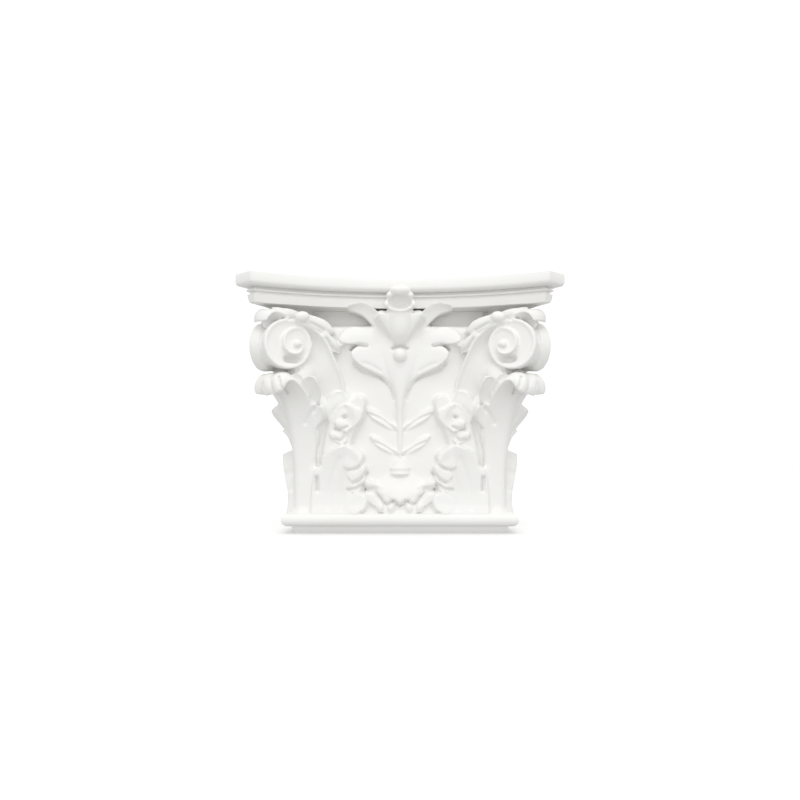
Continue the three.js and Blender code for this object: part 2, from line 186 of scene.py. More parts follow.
def shell(rings):
    """A closed shell through rings of points, its ends closed to the middle of their rings."""
    rings = np.asarray(rings, float)
    count, sides = rings.shape[:2]
    points = np.concatenate([rings.reshape(-1, 3), rings[:1].mean(axis=1), rings[-1:].mean(axis=1)])
    here = np.arange(sides)
    after = (here + 1) % sides
    row = (np.arange(count - 1) * sides)[:, None]
    low, low_after = row + here, row + after
    lower_walls = np.stack((low, low_after, low_after + sides), axis=-1).reshape(-1, 3)
    upper_walls = np.stack((low, low_after + sides, low + sides), axis=-1).reshape(-1, 3)
    foot = np.full(sides, count * sides)
    last = (count - 1) * sides
    first_cap = np.stack([foot, after, here], axis=-1)
    last_cap = np.stack([foot + 1, last + here, last + after], axis=-1)
    return outward(points, np.concatenate([lower_walls, upper_walls, first_cap, last_cap]))


def outward(points, faces):
    """The same shell with its faces turned outwards."""
    a, b, c = (points[faces[:, i]] for i in range(3))
    volume = np.einsum("ij,ij->i", a, np.cross(b, c)).sum()
    return points, faces if volume > 0 else faces[:, ::-1]


def ball(centre, radii, axis=(0, 0, 1), rows=14, sides=20):
    """An egg with its third radius along axis. Centre and axis are given across, out and up."""
    axis = np.asarray(axis, float) / np.linalg.norm(axis)
    side = np.cross(axis, (0, 1, 0))
    side /= np.linalg.norm(side)
    third = np.cross(axis, side)
    polar = np.linspace(POLE_GAP, math.pi - POLE_GAP, rows)[:, None, None]
    turn = np.linspace(0, 2 * math.pi, sides, endpoint=False)[None, :, None]
    flat = side * np.cos(turn) * radii[0] + third * np.sin(turn) * radii[1]
    points = np.asarray(centre) + flat * np.sin(polar) + axis * np.cos(polar) * radii[2]
    return shell(place(points[..., 0], points[..., 1], points[..., 2]))


# Mirror images
def across_corner(points):
    """The mirror image of points in the corner's diagonal plane."""
    moved = points.copy()
    moved[:, 0] = WALL_Y + CORNER_SHIFT - points[:, 1]
    moved[:, 1] = WALL_Y + CORNER_SHIFT - points[:, 0]
    return moved


def returned(part):
    """The mirror image in the corner's diagonal plane, for the return side."""
    points, faces = part
    return across_corner(points), faces[:, ::-1]


def left(part):
    """The mirror image in the capital's middle plane."""
    points, faces = part
    return points * (-1, 1, 1), faces[:, ::-1]


# Foliage
class LeafSheet:
    """The sheet that a leaf lies on: a profile of (out, up) points in the upright plane that leaves foot
    along heading. Its halves fold back from the midrib, by half the angle between them, and open towards the
    tip. Called with places across, along the profile and lifted off the sheet, it gives points."""

    def __init__(self, foot, heading, profile, fold):
        self.foot, self.heading, self.fold = foot, heading, fold
        self.line = spline(profile)
        self.run = run_along(self.line)
        self.length = self.run[-1]
        self.slope = np.gradient(self.line, self.run, axis=0)

    def __call__(self, across, along, lift):
        across, along, lift = np.broadcast_arrays(across, along, lift)
        share = np.clip(along / self.length, 0, 1)
        over = along - share * self.length
        at = share * self.length
        out, up = (np.interp(at, self.run, column) for column in self.line.T)
        slope_out, slope_up = (np.interp(at, self.run, column) for column in self.slope.T)
        half = np.radians(mix(*self.fold, share**FOLD_POWER))
        reach = np.hypot(across, FOLD_ROUND)
        level = lift * slope_up
        outwards = out + slope_out * over - (reach - FOLD_ROUND) * np.cos(half) + level * np.sin(half)
        sideways = across * np.sin(half) + level * np.cos(half) * across / reach
        heading_across, heading_out = self.heading
        return place(
            self.foot[0] + heading_across * outwards - heading_out * sideways,
            self.foot[1] + heading_out * outwards + heading_across * sideways,
            up + slope_up * over - slope_out * lift,
        )


# Profile of the bell: places out from the shaft's face and up
BELL_PROFILE = ((6, 12), (5.5, 20), (2.5, 28), (0.5, 40), (0, 70), (0, 110), (1.5, 145), (4, 170), (7, 190))


def bell_front(across, up, lift):
    """The front of the bell as a sheet for the foliage on it."""
    flare = np.interp(up, *np.flip(np.asarray(BELL_PROFILE), axis=1).T)
    return place(across, SHAFT_DEPTH + flare + lift, up)


def petal(sheet, path, width, lift=(0.0, 4.0), cup=1.6, tilt=0.0, ground=-10.0, draft=0.2, rim=None,
          neck=0.6, widest=0.6, point=0.2, power=2, curl=0.0, notches=(), rows=26, cols=13):
    """A lobe on a sheet, along a path of (across, along) places from its root to its tip. It is lifted off
    the sheet at its root and at its tip, where it may curl back. The higher its power, the later it rises.
    Its edges stand higher than its middle by cup, and one higher than the other by tilt. Neck is its width
    at the root as a share of the whole, widest is where it is widest, and point is how pointed its tip is.
    Its sides slope down to the ground, by draft. With a rim, it is a free leaf, thinnest at its edge.
    Each notch in its edge has its share of the length, its side, left 1 or right -1, and its depth."""
    t = np.sin(np.linspace(0, math.pi / 2, rows))
    line = spline(path, PATH_STEPS)
    steps = np.linspace(0, 1, PATH_STEPS)
    centre = np.stack([np.interp(t, steps, column) for column in line.T], axis=1)
    way = np.gradient(line, axis=0)
    way = np.stack([np.interp(t, steps, column) for column in way.T], axis=1)
    way /= np.linalg.norm(way, axis=1)[:, None]
    t = t[:, None]
    swell = mix(neck, 1, np.sin(np.clip(t / widest, 0, 1) * math.pi / 2))
    close = np.clip((t - widest) / (TIP_END - widest), 0, 1)
    shoulder, nose = (mix(blunt, sharp, point) for blunt, sharp in zip(ROUND_TIP, POINTED_TIP))
    c = np.cos(np.linspace(0, math.pi, cols))[None, :]
    half = width / 2 * swell * (1 - close**shoulder) ** nose + 0 * c
    for share, side, depth in notches:
        half -= depth * np.exp(-(((t - share) / NOTCH_SHARE) ** 2)) * (c * side > 0)
    hollow = (cup * c**2 + tilt * c) * smoothstep(t, 0, 0.5)
    front = mix(lift[0], lift[1], t**power) - curl * close**2 + hollow
    if rim is None:
        back = np.full_like(front, ground)
        rear = (half + draft * (lift[1] - ground)) * c
        ahead = t**3 * draft * (lift[1] - ground)
    else:
        back = front - rim + (ground + rim) * (1 - c**2) * mix(1, FREE_TIP, t)
        rear = half * c
        ahead = 0 * t
    shift = np.concatenate([half * c, rear[:, ::-1]], axis=1)
    push = np.concatenate([0 * front, ahead + 0 * back], axis=1)
    across = centre[:, :1] - way[:, 1:] * shift + way[:, :1] * push
    along = centre[:, 1:] + way[:, :1] * shift + way[:, 1:] * push
    return shell(sheet(across, along, np.concatenate([front, back[:, ::-1]], axis=1)))


def blade(sheet, stations, ridge, cup, ridge_width=0.22, rim=1.5, rows=70, cols=25):
    """The body of a leaf up the whole of its sheet, with a ridge along its midrib and edges higher by cup.
    Each station gives its place along, half width, lift and back."""
    along, half, lift, back = (column[:, None] for column in spline(stations, rows).T)
    c = np.linspace(1, -1, cols)[None, :]
    front = lift + ridge * np.exp(-((c / ridge_width) ** 2)) + cup * c**2
    rear = mix(front - rim, back, np.sqrt(1 - c**2))
    across = np.concatenate([half * c, (half * c)[:, ::-1]], axis=1)
    return shell(sheet(across, along, np.concatenate([front, rear[:, ::-1]], axis=1)))


def corner_leaf():
    """The tall leaf under each volute: its midrib runs up the corner and its broad tip rolls over. The
    petals on its return half, -1, stand out further than those on its front half, 1."""
    foot = (SHAFT_HALF, SHAFT_DEPTH)
    stalk = ((-1, 18), (-0.5, 60), (3, 90), (8, 112))
    roll = ((15, 129), (23, 141.5), (29, 147.2), (33, 145.5), (34.2, 140), (33, 135))
    rolled = LeafSheet(foot, DIAGONAL, stalk + roll, fold=(45, 85))
    upright = LeafSheet(foot, DIAGONAL, stalk + ((14, 130), (20, 143), (23, 152)), fold=(45, 62))
    stations = (
        (0, 20, 2, -10), (40, 21, 2, -10), (75, 24, 2, -10), (100, 27, 2, -9), (118, 28, 1.5, -8),
        (132, 27, 1, -6), (142, 24, 1, -4), (149, 21, 1, -3.5), (154, 16, 1, -3),
    )
    parts = [blade(rolled, stations, ridge=1.2, cup=1.5)]
    free = dict(lift=(0, 3), cup=2.5, ground=-7, rim=2.5)
    for half in (1, -1):
        parts += [
            petal(upright, ((6 * half, 50), (17 * half, 70), (25 * half, 84)), 14,
                  lift=(0, 5 - 4 * half), ground=-14),
            petal(upright, ((7 * half, 74), (20 * half, 92), (36 * half, 107)), 19,
                  lift=(1, 10 - 5 * half), cup=1.5, ground=-18, power=1.6 + 0.4 * half),
            petal(upright, ((12 * half, 92), (27 * half, 116), (39 * half, 135)), 21, **free),
            petal(upright, ((6 * half, 96), (18 * half, 120), (25 * half, 139)), 21, **free),
        ]
    for across in (-15.5, 0, 15.5):
        finger = ((across * 0.85, 136), (across, 155 - abs(across) * 0.15))
        parts.append(petal(rolled, finger, 16.5, lift=(-2, -1), cup=2.5, ground=-4.5, rim=2.5,
                           neck=0.9, point=0))
    return parts


def upper_leaf(lift):
    """The leaf beside the corner leaf, that stands behind the lower one and leans to the middle."""
    return [
        petal(bell_front, ((86, 46), (79, 92), (58, 126)), 28,
              lift=(2, 3.5), cup=0.5, ground=-4, draft=0.7, neck=0.9, rows=40),
        petal(bell_front, ((66, 60), (59, 92), (49, 123)), 24,
              lift=lift, cup=0, ground=-4, draft=0.25, neck=0.9, point=0, rows=40),
        petal(bell_front, ((49, 99), (55, 104), (62, 107)), 9,
              lift=(13.5, 15), cup=-1.5, ground=-2, draft=0.15),
        petal(bell_front, ((53, 87), (59, 93), (67, 96)), 9.5,
              lift=(11, 12), cup=-1.5, ground=-2, draft=0.15),
        petal(bell_front, ((52, 102), (45, 112), (38, 118)), 15,
              lift=(12, 13), cup=0, ground=-2, draft=0.25),
    ]


def lower_leaf(width, lift, curl=0.0, aside=0.0, drop=0.0):
    """The leaf at the foot of the bell between the corner and the middle. It can be moved aside to the
    corner, and dropped."""
    def sheet(across, up, lifted):
        return bell_front(across + aside, up - drop, lifted)

    notches = ((0.72, 1, 3), (0.56, 1, 3), (0.4, 1, 3), (0.66, -1, 3))
    return [
        petal(sheet, ((63, 12), (60, 50), (49, 83)), width, lift=lift, curl=curl, cup=0.6, ground=-2,
              draft=0.25, neck=0.95, widest=0.5, point=0.1, notches=notches, rows=80, cols=17),
        petal(sheet, ((48, 22), (41, 30), (34, 34)), 17, lift=(6, 7.5), cup=0.6, ground=-2, draft=0.5),
        petal(sheet, ((48, 42), (41, 51), (35, 55)), 11, lift=(9, 10), cup=0, ground=-2),
        petal(sheet, ((48, 53), (40, 61), (34, 65)), 11, lift=(10.5, 11), cup=0, ground=-2),
        petal(sheet, ((50, 62), (43, 72), (37, 77)), 13, lift=(12, 11), cup=0.6, ground=-2),
    ]


def middle_leaf():
    """The hood at the foot of the front: a short leaf that swells out of the bell and hangs over, its middle
    lobe, and the raised ground behind it."""
    return [
        petal(bell_front, ((0, 64), (0, 48), (0, 31)), 54, lift=(-1, 16), cup=-5, ground=-3, draft=0,
              neck=0.5, widest=0.55, point=0.2, power=1.4, curl=6, rows=60, cols=25),
        petal(bell_front, ((0, 40), (0, 27.5)), 13,
              lift=(9, 9), cup=-2, ground=-3, draft=0, neck=0.9, point=0.2),
        petal(bell_front, ((0, 16), (0, 40)), 40, lift=(4, 6), cup=0, ground=-3),
    ]


def middle_lobes():
    """The lobes on the right of the hood, and the drops under it."""
    return [
        petal(bell_front, ((11, 40), (12.5, 29)), 12,
              lift=(8, 7.5), cup=-2, ground=-3, draft=0, neck=0.9, point=0.2),
        petal(bell_front, ((19, 46), (22.5, 36)), 11,
              lift=(6, 5.5), cup=-1.5, ground=-3, draft=0, neck=0.8, point=0.2),
        petal(bell_front, ((18, 27), (26, 34), (33, 39)), 10, lift=(6, 9), cup=-1, ground=-3),
        petal(bell_front, ((20, 38), (28, 46), (34, 50)), 9, lift=(6, 6), cup=-1, ground=-3),
        ball((8.8, 63, 25), (4.2, 5, 6)),
        ball((18.5, 62, 25.5), (4.2, 5, 5.5)),
    ]


def spindle(sections, sides=40, rows=60, sunk=8):
    """A stem on the bell: level rounded sections, each with its height, half width, front and back. Behind
    its back it is sunk into the bell."""
    up, half, front, back = (column[:, None] for column in spline(sections, rows).T)
    turn = np.linspace(0, 2 * math.pi, sides, endpoint=False)[None, :]
    s = np.sin(turn)
    return shell(bell_front(half * np.cos(turn), up, np.where(s > 0, mix(back, front, s), back + sunk * s)))


def palm_stem():
    """A stem that rises from a small cup on the bell and spreads under the flower, and a bead."""
    stem = ((64, 2, 1.5, -1), (80, 2.6, 2.5, -1), (110, 3.6, 4, -1), (132, 6, 6.5, -1), (152, 14, 7.5, -1),
            (172, 24, 6, -1), (190, 34, 1, -2))
    cup = ((55, 7, 3, -1), (57.5, 10, 6.5, -1), (60, 9, 5, -1), (62.5, 10, 6, -1), (66, 8, 4, -1),
           (70, 5.5, 3, -1), (72, 3, 2, -1))
    return [spindle(stem), spindle(cup), ball((0, 68, 171.2), (6.4, 6.4, 6.4))]


def palm_leaves():
    """The thick leaves on the right of the palm's stem: two small ones, and two large ones that are steep
    and deep below and run out into the bell above."""
    small = dict(lift=(2, 4.8), cup=-1.5, tilt=-1.3, ground=-2, draft=0.3, neck=0.35, widest=0.6, point=0.5)
    large = dict(cup=-1, tilt=-2, ground=-6, draft=0, neck=0.25, widest=0.75, point=0.1)
    lower = ((-2, 112), (-1.2, 130), (-0.4, 139), (3, 148), (10, 158), (24, 167.5), (46, 174))
    upper = ((12, 160), (28, 184), (42, 190), (58, 186))
    return [
        petal(bell_front, ((2, 76.5), (15, 85), (28, 94)), 8, **small),
        petal(bell_front, ((3, 100.5), (17, 110), (33, 121.5)), 9, **small),
        petal(bell_front, lower, 24, lift=(1, 10), **large),
        petal(bell_front, upper, 17, lift=(3, 8), **large),
        petal(bell_front, ((50, 190), (56, 186), (56, 179)), 7, lift=(6, 7), cup=-1, ground=-4, draft=0),
    ]


# The bud of the flower: the height of its middle, half its width, its reach above and below the middle, and
# how far its rim stands out from the wall
BUD_UP = 219
BUD_HALF = 13.6
BUD_ABOVE = 11
BUD_BELOW = 9.6
BUD_RIM = 80


def flower():
    """The middle of the flower on the abacus: a swelling calyx, and a bud that opens in a cup under its top
    lobe. The cup is made of rings, each a share of the bud's size, at a place out from the wall."""
    turn = np.linspace(0, 2 * math.pi, 72, endpoint=False)
    rise = np.sin(turn)
    across = BUD_HALF * np.cos(turn)
    up = np.where(rise > 0, BUD_ABOVE, BUD_BELOW) * rise
    rim = BUD_RIM + 5 * smoothstep(rise, 0.3, 1) + 4 * smoothstep(-rise, 0.2, 1)
    cup = (
        (1, 60), (1, rim - 2.4), (0.96, rim - 0.8), (0.88, rim), (0.8, rim - 0.8), (0.74, rim - 2.6),
        (0.6, rim * 0.3 + 50), (0.3, 71), (0.05, 70.4),
    )
    calyx = ((176, 3, 2, 0), (182, 6.5, 9, 0), (188, 10, 14, 0), (196, 13.5, 17, 0), (205, 16, 18.5, 0),
             (210, 15, 19.5, 0), (214, 12, 14, 0))
    return [
        spindle(calyx),
        shell([place(across * share, out, BUD_UP + up * share) for share, out in cup]),
        ball((0, 82, 230), (10, 6.5, 5)),
    ]


def flower_side():
    """The right-hand lobes of the bud, a sepal, and the long wing that arches out under the abacus."""
    wing = ((5, 178), (17, 198), (26, 208.5), (36, 215.5), (51, 216))
    return [
        ball((9.8, 80, 225.6), (3.2, 4.5, 3.2)),
        ball((12.6, 78, 217), (2.8, 4.5, 3.6)),
        petal(bell_front, ((2, 188), (11, 202), (20, 208)), 11, lift=(10, 19), cup=-1, ground=-4, neck=0.8),
        petal(bell_front, wing, 12, lift=(2, 3), cup=1.5, tilt=4, ground=-16, draft=0, point=0.4, rows=40),
    ]


# Volutes
# The front face of a volute: how far it is turned to the side, its middle across and out, and its thickness
FACE_TURN = math.radians(25)
FACE_CENTRE = (103.5, 86.0)
FACE_THICKNESS = 9.0

# The drum: how far it is set back behind the face and in from the scroll's edge, and its belt's height and
# half width as a share of the drum's
DRUM_SET_BACK = 8.0
DRUM_INSET = 0.6
BELT_HEIGHT = 1.4
BELT_SHARE = 0.2

# The coil: the eye's place beside the middle, the angle where it starts, its whole turn, and its radius
# round its moving middle at shares of the turn
EYE_SHIFT = -6.5
COIL_START = math.radians(125)
COIL_TURN = math.radians(690)
COIL_RADII = (
    (0, 23.9), (0.2, 23.8), (0.31, 23.0), (0.44, 17.8), (0.57, 16.0), (0.7, 13.2), (0.83, 10.0), (0.96, 6.2),
    (1, 4.8),
)

# The ribbon: the width of its rim on the first turn and further in, and where the rim's slope starts and
# ends. Then the rim's height, how far the ribbon is hollowed, and its rise to the eye.
RIM_FIRST = 3.4
RIM_WITHIN = 2.4
RIM_SLOPE = (-0.8, 0.6)
RIM_HEIGHT = 1.4
RIBBON_HOLLOW = 2.6
RIBBON_RISE = 6.0

# The eye is the top of a ball: its radius, its height, and the square of the ball's radius. The pocket has a
# depth, a middle and half sizes.
EYE_RADIUS = 3.4
EYE_HEIGHT = 5.0
EYE_ROUND = 11.6
POCKET_DEPTH = 8.5
POCKET_MIDDLE = (-3.4, -14.0)
POCKET_HALF = (7.0, 3.0)


def on_face(u, v, lift):
    """Points on the volute's front face, from places outwards and up from its middle, and lifted off it."""
    cos, sin = math.cos(FACE_TURN), math.sin(FACE_TURN)
    across = FACE_CENTRE[0] + cos * u - sin * lift
    out = FACE_CENTRE[1] + sin * u + cos * lift
    return place(across, out, VOLUTE_UP + v)


def coil():
    """The coil's outer edge round the eye: the angle wound so far, its radius there, and its first angle.
    The shares count as percents, so that the curve through them runs evenly with the turn."""
    t, radius = spline(np.multiply(COIL_RADII, (100, 1)), 400).T
    t = t / 100
    turn = COIL_START - COIL_TURN * t
    u = radius * np.cos(turn) + EYE_SHIFT * (smoothstep(t, 0.25, 0.6) - 1)
    v = radius * np.sin(turn)
    angle = np.unwrap(np.arctan2(v, u))
    return angle[0] - angle, np.hypot(u, v), angle[0]


def scroll():
    """The face of a volute: a ribbon with a raised rim that winds in to the eye, each turn above the last,
    and a deep pocket under the inner turn."""
    wound, radius, start = coil()
    first = np.linspace(0, 2 * math.pi, 240, endpoint=False)[None, :]
    outer = np.interp(first, wound, radius)
    along = np.linspace(1, 0, 90)[:, None] * outer
    height = np.zeros_like(along)
    for turn, rim in enumerate((RIM_FIRST, RIM_WITHIN, RIM_WITHIN)):
        here = first + 2 * math.pi * turn
        edge = np.interp(here, wound, radius, right=0.0)
        inner = np.interp(here + 2 * math.pi, wound, radius, right=0.0)
        depth = edge - along
        share = np.clip((depth - rim) / np.maximum(edge - inner - rim, 1.0), 0, 1)
        rise = RIBBON_RISE * (here / wound[-1]) ** 1.2
        raised = RIM_HEIGHT * (1 - smoothstep(depth, rim + RIM_SLOPE[0], rim + RIM_SLOPE[1]))
        ribbon = rise + raised - RIBBON_HOLLOW * share**1.5
        height = np.where((along <= edge) & (here <= wound[-1]), ribbon, height)
    eye = EYE_HEIGHT + np.sqrt(np.maximum(EYE_ROUND - along**2, 0))
    height = np.where(along < EYE_RADIUS, np.maximum(height, eye), height)
    u = EYE_SHIFT + along * np.cos(start - first)
    v = along * np.sin(start - first)
    aside = (u - POCKET_MIDDLE[0]) / POCKET_HALF[0]
    above = (v - POCKET_MIDDLE[1]) / POCKET_HALF[1]
    height -= POCKET_DEPTH * np.exp(-(aside**4) - above**4)
    back = on_face(u[:1], v[:1], np.full_like(u[:1], -FACE_THICKNESS))
    return shell(np.concatenate([back, on_face(u, v, height)]))


def volute_drum():
    """The body between the two faces of a volute: a spool with a narrow belt round its waist."""
    turn = np.linspace(0, 2 * math.pi, 90, endpoint=False)[None, :]
    t = np.linspace(0, 1, 61)
    side = np.abs(2 * t - 1)
    belt = np.exp(-((side / BELT_SHARE) ** 4))
    radius = mix(VOLUTE_WAIST, VOLUTE_RADIUS - DRUM_INSET, side**2) + BELT_HEIGHT * belt
    face = on_face(np.cos(turn), np.sin(turn), -DRUM_SET_BACK)
    middle = on_face(0.0, 0.0, -DRUM_SET_BACK)
    rings = []
    for share, reach in zip(t, radius):
        near = middle + (face[0] - middle) * reach
        rings.append(mix(near, across_corner(near), share))
    return shell(rings)


# The stem's inner edge across, out and up, its width at shares of its length, and how deep it is hollowed at
# its foot and its top. The hollow deepens over its ease, and the back stands out from the wall. The ridge on
# the edge has a height, a place and a half width.
STEM_LINE = ((50, 62, 122), (54, 66, 147), (61.5, 71, 167), (71, 77, 186), (84, 82, 197), (97, 87, 201))
STEM_WIDTH = ((0, 0.3, 0.6, 1), (26, 32, 34, 22))
STEM_HOLLOW = (1.5, 9)
STEM_EASE = 7
STEM_BACK = 40
RIDGE_HEIGHT = 2.0
RIDGE_PLACE = 1.5
RIDGE_HALF = 1.3


def volute_stem():
    """The hollowed sheath that leaves the bell above the leaves and sweeps out to the top of the scroll. Its
    inner edge is a thin ridge. A bead, a body behind the corner leaf and a knuckle fill its joints."""
    line = spline(STEM_LINE, 60)
    along = np.gradient(line, axis=0)
    along /= np.linalg.norm(along, axis=1)[:, None]
    across = np.stack([along[:, 2], 0 * along[:, 0], -along[:, 0]], axis=1)
    across = across / np.linalg.norm(across, axis=1)[:, None]
    t = np.linspace(0, 1, 60)[:, None]
    s = np.linspace(0, 1, 25)[None, :]
    reach = s * np.interp(t, *STEM_WIDTH)
    hollow = mix(*STEM_HOLLOW, smoothstep(t, 0.4, 0.9)) * (1 - np.exp(-((reach / STEM_EASE) ** 2)))
    ridge = RIDGE_HEIGHT * np.exp(-(((reach - RIDGE_PLACE) / RIDGE_HALF) ** 2))
    points = line[:, None] + across[:, None] * reach[..., None]
    back = points.copy()
    points[..., 1] += ridge - hollow
    back[..., 1] = STEM_BACK
    ring = np.concatenate([points, back[:, ::-1]], axis=1)
    return [
        shell(place(ring[..., 0], ring[..., 1], ring[..., 2])),
        ball((91, 87, 204.5), (5, 5, 7), (1, 0.3, -0.1)),
        ball((94, 66, 152), (14, 14, 16)),
        ball((73.5, 73, 189.5), (5, 5, 5)),
    ]


def husks():
    """The two pointed husks that lie on the stem's upper side below the bead."""
    husk = dict(cup=-2, ground=-2, draft=0, point=0.8)
    return [
        petal(bell_front, ((88, 204), (75, 198.5), (62, 191.5)), 11, lift=(23, 12), **husk),
        petal(bell_front, ((72, 190), (65, 182), (58, 172.5)), 9, lift=(16, 9), **husk),
    ]


def stem_leaves():
    """The two leaflets that the volute's stem grows out of."""
    return [
        petal(bell_front, ((52, 98), (44, 117), (37, 131)), 16, lift=(9, 11), cup=0, ground=-4, draft=0.25),
        petal(bell_front, ((60, 104), (60, 120), (57, 136)), 21, lift=(9, 7), cup=1.8, ground=-4, draft=0.7),
    ]


def horn_leaf():
    """The small leaf that lies on the volute under the abacus's horn, its tip bent down at the corner, with
    a web below it."""
    profile = ((8, 196), (20, 200.5), (30, 204.5), (36, 207), (41, 208.5), (44, 206.5), (44.8, 200.5))
    sheet = LeafSheet((SHAFT_HALF, SHAFT_DEPTH), DIAGONAL, profile, fold=(50, 60))
    stations = (
        (0, 24, 2, -5), (20, 24, 2, -5), (32, 20, 1.5, -4), (38, 16, 1.5, -3), (42, 13, 1, -2.5),
        (46, 10, 1, -2),
    )
    parts = [
        blade(sheet, stations, ridge=1.5, cup=-1.0),
        ball((123.5, 79.5, 199), (6, 2.5, 7), (1, 1, 0)),
    ]
    for half in (1, -1):
        parts += [
            petal(sheet, ((8 * half, 29), (27 * half, 20)), 14, lift=(-1, 1), cup=-1.5, ground=-6),
            petal(sheet, ((8 * half, 18), (30 * half, 6)), 13, lift=(0, 3), cup=-1.5, ground=-6),
        ]
    return parts


# Core and mouldings
# The top of the bell's profile: its rounded lip, and the hollow behind it under the abacus
BELL_LIP = ((7.4, 193), (7, 196), (5, 198.5), (1, 200), (-11, 202), (-13, 222))

# The steps along the abacus's side and front, and its profile from its underside to its top: insets from the
# edge, and heights
ABACUS_SIDE_STEPS = 15
ABACUS_FRONT_STEPS = 49
ABACUS_PROFILE = (
    (11, 216.4), (10.2, 216.8), (9.4, 219.4), (8.8, 222.6), (8.6, 223.8), (9, 224.3), (10.8, 224.7),
    (10.8, 226.4), (8.6, 226.7), (8.1, 227), (8, 227.3), (8, 228.2), (8.4, 228.7), (11, 229.1), (11, 231),
    (4.2, 231.2), (2.6, 231.5), (1.2, 232.3), (0.3, 233.5), (0, 234.8), (0, 242.2), (0.2, 242.7), (0.8, 243),
)


def bell():
    """The core behind the leaves, its front corners cut by a bevel. It flares to a rounded lip and is
    hollowed back under the abacus."""
    rings = []
    for offset, up in [*spline(BELL_PROFILE, 40).tolist(), *BELL_LIP]:
        half, front = SHAFT_HALF + offset, SHAFT_DEPTH + offset
        right = [(half, -BEHIND), (half, front - BELL_BEVEL), (half - BELL_BEVEL, front)]
        plan = np.asarray(right + [(-across, out) for across, out in reversed(right)])
        rings.append(place(plan[:, 0], plan[:, 1], up))
    return shell(rings)


def level_shell(rings):
    """A closed shell through level rings that may be hollow in plan: its ends stay single flat faces."""
    rings = np.asarray(rings, float)
    count, sides = rings.shape[:2]
    faces = []
    for row in range(count - 1):
        low, high = row * sides, (row + 1) * sides
        for k in range(sides):
            after = (k + 1) % sides
            faces.append((low + after, low + k, high + k, high + after))
    faces.append(tuple(range(sides)))
    faces.append(tuple((count - 1) * sides + k for k in reversed(range(sides))))
    return rings.reshape(-1, 3), faces


def base():
    """A fillet that leans in to the shaft below an eased arris, and a half-round torus."""
    fillet = [
        (0, 0), (FILLET_OUT - ARRIS_BELOW, FILLET_OUT - ARRIS_BELOW), (FILLET_OUT, FILLET_OUT + ARRIS_ABOVE),
        (FILLET_OUT, FILLET_HEIGHT),
    ]
    torus = []
    for turn in np.radians(np.linspace(-90, 90, 25)):
        offset = FILLET_OUT + TORUS_SET_OUT + TORUS_RADIUS * math.cos(turn)
        torus.append((offset, FILLET_HEIGHT + TORUS_RADIUS + TORUS_RADIUS * math.sin(turn)))
    rings = []
    for offset, up in fillet + torus:
        half, front = SHAFT_HALF + offset, SHAFT_DEPTH + offset
        plan = np.asarray([(half, 0), (half, front), (-half, front), (-half, 0)])
        rings.append(place(plan[:, 0], plan[:, 1], up))
    return level_shell(rings)


def abacus():
    """A fascia with a rounded lower edge, a fillet and a hollow band, on a plan with hollow sides and cut
    horns."""
    centre = ABACUS_MIDDLE + ABACUS_RADIUS
    horn_sum = centre - ABACUS_RADIUS * (math.cos(HORN_TURN) - math.sin(HORN_TURN))
    rings = []
    for inset, up in ABACUS_PROFILE:
        radius = ABACUS_RADIUS + inset
        reach = (horn_sum - inset * math.sqrt(2) - centre) / (radius * math.sqrt(2))
        horn = math.radians(45) + math.asin(reach)
        wall = math.asin(CORNER_SHIFT / radius)
        turns = np.linspace(wall, horn, ABACUS_SIDE_STEPS)
        side_across = centre - radius * np.cos(turns) + CORNER_SHIFT
        side = np.stack([side_across, radius * np.sin(turns) - CORNER_SHIFT], axis=1)
        turns = np.linspace(horn, -horn, ABACUS_FRONT_STEPS)
        front = np.stack([radius * np.sin(turns), centre - radius * np.cos(turns)], axis=1)
        plan = np.concatenate([side, front, (side * (-1, 1))[::-1]])
        rings.append(place(plan[:, 0], plan[:, 1], up))
    return level_shell(rings)


def wall_block():
    """A block that fills the wall behind the capital, for the cut that trims it flush."""
    across = np.array([-BLOCK_REACH, -BLOCK_REACH, BLOCK_REACH, BLOCK_REACH])
    out = np.array([0, -BLOCK_THICKNESS, -BLOCK_THICKNESS, 0])
    return level_shell([place(across, out, up) for up in (-BLOCK_BELOW, BLOCK_REACH)])


